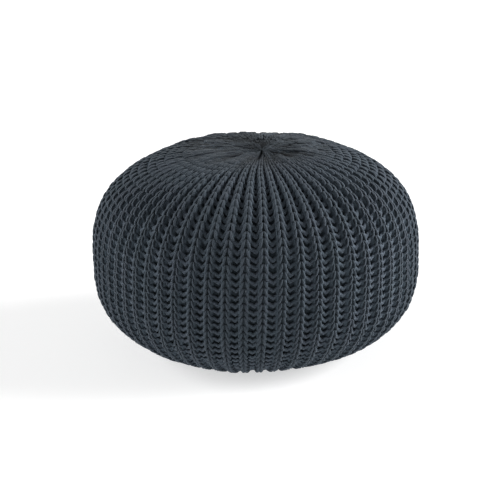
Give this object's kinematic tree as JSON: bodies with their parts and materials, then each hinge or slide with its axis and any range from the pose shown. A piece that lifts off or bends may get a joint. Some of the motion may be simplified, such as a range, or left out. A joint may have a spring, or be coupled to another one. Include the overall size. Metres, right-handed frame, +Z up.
{
  "type": "knitted pouf",
  "caption": "Round low floor pouf in dark rib knit, a filled cushion with a gathered crown, full sides and a flat base, used as a footrest or low seat.",
  "frame": {"origin": "centre of the flat base, on the surface that the pouf stands on", "axes": "+Z up towards the gathered crown, -Y towards the front, and +X towards the side on which the gathered top centre lies"},
  "size_m": [0.4982, 0.5016, 0.3004],
  "materials": {
    "knit_yarn": "matt charcoal cotton cord in a thick rib knit"
  },
  "bodies": {
    "root": {"knitted_cover": "knit_yarn"}
  },
  "joints": []
}
